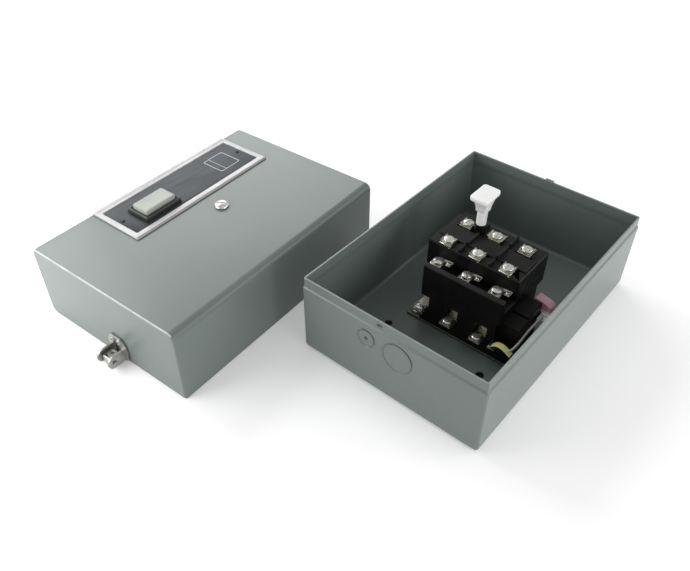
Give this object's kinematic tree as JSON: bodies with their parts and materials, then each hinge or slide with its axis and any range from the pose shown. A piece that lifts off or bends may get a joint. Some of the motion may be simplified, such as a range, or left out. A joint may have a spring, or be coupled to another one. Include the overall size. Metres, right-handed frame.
{
  "type": "magnetic motor starter",
  "caption": "Three-pole magnetic motor starter in an open sheet-steel wall enclosure, its cover with nameplate and reset button lying beside it.",
  "frame": {"origin": "middle of the enclosure's back face, the face that goes against a wall", "axes": "+Z out of the wall through the open front, +Y towards the top end wall (the end with the keyhole), +X to the right"},
  "size_m": [0.3887, 0.3766, 0.1093],
  "materials": {
    "enamel_grey_green": "semi-gloss enamel",
    "phenolic_black": "moulded",
    "zinc_plate": "zinc plated",
    "nickel_strap": "tinned",
    "core_steel": "ground laminations",
    "copper": "bare",
    "heater_alloy": "oxidised",
    "brass_strip": "bright",
    "white_nylon": "moulded",
    "red_moulding": "moulded",
    "coil_tape": "varnished",
    "bobbin_nylon": "moulded",
    "bright_trim": "polished",
    "panel_slate": "satin",
    "button_sage": "moulded",
    "wire_insulation": "plain"
  },
  "bodies": {
    "enclosure": {"enclosure_base": "enamel_grey_green", "mounting_plate": "zinc_plate", "plate_screw_1": "zinc_plate", "plate_screw_2": "zinc_plate", "magnet_housing": "phenolic_black", "magnet_yoke": "core_steel", "shading_ring_left": "copper", "shading_ring_right": "copper", "coil_bobbin": "bobbin_nylon", "coil_winding": "coil_tape", "contact_block": "phenolic_black", "arc_cover": "phenolic_black", "line_terminal_1": "nickel_strap", "line_terminal_2": "nickel_strap", "line_terminal_3": "nickel_strap", "line_screw_1": "zinc_plate", "line_screw_2": "zinc_plate", "line_screw_3": "zinc_plate", "load_terminal_1": "nickel_strap", "load_terminal_2": "nickel_strap", "load_terminal_3": "nickel_strap", "load_screw_1": "zinc_plate", "load_screw_2": "zinc_plate", "load_screw_3": "zinc_plate", "motor_terminal_1": "nickel_strap", "motor_terminal_2": "nickel_strap", "motor_terminal_3": "nickel_strap", "motor_screw_1": "zinc_plate", "motor_screw_2": "zinc_plate", "motor_screw_3": "zinc_plate", "heater_screw_1": "zinc_plate", "heater_screw_2": "zinc_plate", "heater_screw_3": "zinc_plate", "heater_element_1": "heater_alloy", "heater_element_2": "heater_alloy", "heater_element_3": "heater_alloy", "overload_housing": "phenolic_black", "contact_strip": "brass_strip", "coil_terminal_block": "red_moulding", "coil_terminal_base": "white_nylon", "control_wire": "wire_insulation", "return_spring_left": "core_steel", "return_spring_right": "core_steel"},
    "contact_carrier": {"contact_carrier": "phenolic_black", "armature": "core_steel", "moving_contact_1": "copper", "moving_contact_2": "copper", "moving_contact_3": "copper"},
    "reset_rod": {"reset_rod": "white_nylon"},
    "reset_lever": {"reset_lever": "white_nylon"},
    "cover": {"cover_shell": "enamel_grey_green", "nameplate_trim": "bright_trim", "nameplate_panel": "panel_slate", "button_frame": "phenolic_black", "button_spring": "core_steel", "screw_retainer": "zinc_plate", "hasp_bracket": "zinc_plate"},
    "reset_button": {"reset_button": "button_sage"},
    "cover_screw": {"cover_screw": "zinc_plate"},
    "hasp_latch": {"hasp_latch": "zinc_plate"}
  },
  "joints": [
    {"name": "armature_pull_in", "type": "slide", "parent": "enclosure", "child": "contact_carrier", "axis": [0, 0, -1], "range_m": [0, 0.0037], "stiffness_N_per_m": 400, "springref_m": -0.012, "deforming": ["return_spring_left", "return_spring_right"]},
    {"name": "reset_rod_press", "type": "slide", "parent": "enclosure", "child": "reset_rod", "axis": [0, 0, -1], "range_m": [0, 0.003], "stiffness_N_per_m": 500, "springref_m": -0.004},
    {"name": "reset_lever_tilt", "type": "hinge", "parent": "enclosure", "child": "reset_lever", "pos_m": [-0.0154, -0.016, 0.0125], "axis": [-1, 0, 0], "range_deg": [0, 4.2]},
    {"name": "cover_lift", "type": "slide", "parent": "enclosure", "child": "cover", "axis": [0, 0, 1], "range_m": [0, 0.2]},
    {"name": "reset_button_press", "type": "slide", "parent": "cover", "child": "reset_button", "axis": [0, 0, -1], "range_m": [0, 0.004], "stiffness_N_per_m": 400, "springref_m": -0.004, "deforming": ["button_spring"]},
    {"name": "cover_screw_turn", "type": "hinge", "parent": "cover", "child": "cover_screw", "pos_m": [-0.21228, -0.09337, 0.071], "axis": [0, 0, 1], "continuous": true},
    {"name": "hasp_latch_swing", "type": "hinge", "parent": "cover", "child": "hasp_latch", "pos_m": [-0.19393, -0.24538, 0.0086], "axis": [0.9987, 0.0515, 0], "range_deg": [-95, 75]}
  ],
  "couplings": [
    {"joint": "reset_lever_tilt", "follows": "reset_rod_press", "rad_per_m": 24.155}
  ]
}
